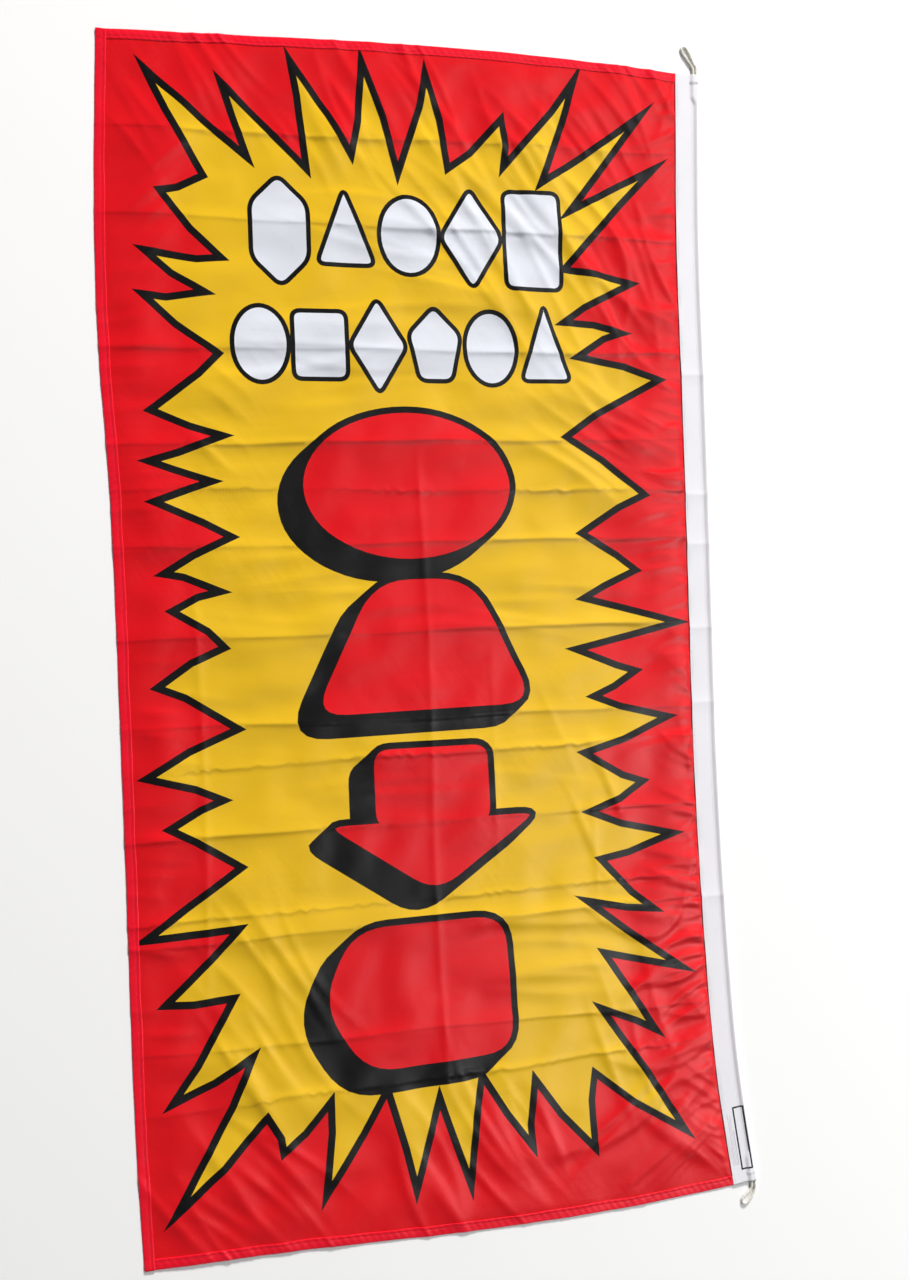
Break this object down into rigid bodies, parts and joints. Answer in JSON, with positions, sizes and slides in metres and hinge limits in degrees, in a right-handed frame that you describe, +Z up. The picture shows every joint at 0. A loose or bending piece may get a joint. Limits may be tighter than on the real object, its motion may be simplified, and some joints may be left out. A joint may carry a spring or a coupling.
{
  "type": "printed banner flag",
  "caption": "Upright rectangular printed cloth flag laid flat, with turned hems, a white roped heading and a rope loop at each end.",
  "frame": {"origin": "middle of the flag on the surface that it lies on", "axes": "+Z up from the surface, +Y towards the top of the print, +X towards the hoist, which is the roped edge"},
  "size_m": [0.971, 1.8779, 0.0066],
  "materials": {
    "printed_cloth": "satin knitted polyester, printed",
    "heading_tape": "matt woven tape",
    "rope": "braided polyester cord",
    "red_thread": "sewing thread",
    "white_thread": "sewing thread"
  },
  "bodies": {
    "flag": {"flag_cloth": "printed_cloth", "heading_tape": "heading_tape", "hoist_rope": "rope", "top_rope_tail": "rope", "bottom_rope_tail": "rope", "top_hem_thread": "red_thread", "fly_hem_thread": "red_thread", "bottom_hem_thread": "red_thread", "heading_seam_thread": "white_thread", "rope_tunnel_thread": "white_thread", "top_rope_tack": "white_thread", "bottom_rope_tack": "white_thread"},
    "top_rope_loop": {"top_loop": "rope"},
    "bottom_rope_loop": {"bottom_loop": "rope"}
  },
  "joints": [
    {"name": "top_loop_swing", "type": "hinge", "parent": "flag", "child": "top_rope_loop", "pos_m": [0.47741, 0.90116, 0.003], "axis": [0, 0, 1], "range_deg": [-90, 35]},
    {"name": "bottom_loop_swing", "type": "hinge", "parent": "flag", "child": "bottom_rope_loop", "pos_m": [0.47993, -0.9015, 0.003], "axis": [0, 0, 1], "range_deg": [-25, 95]}
  ]
}
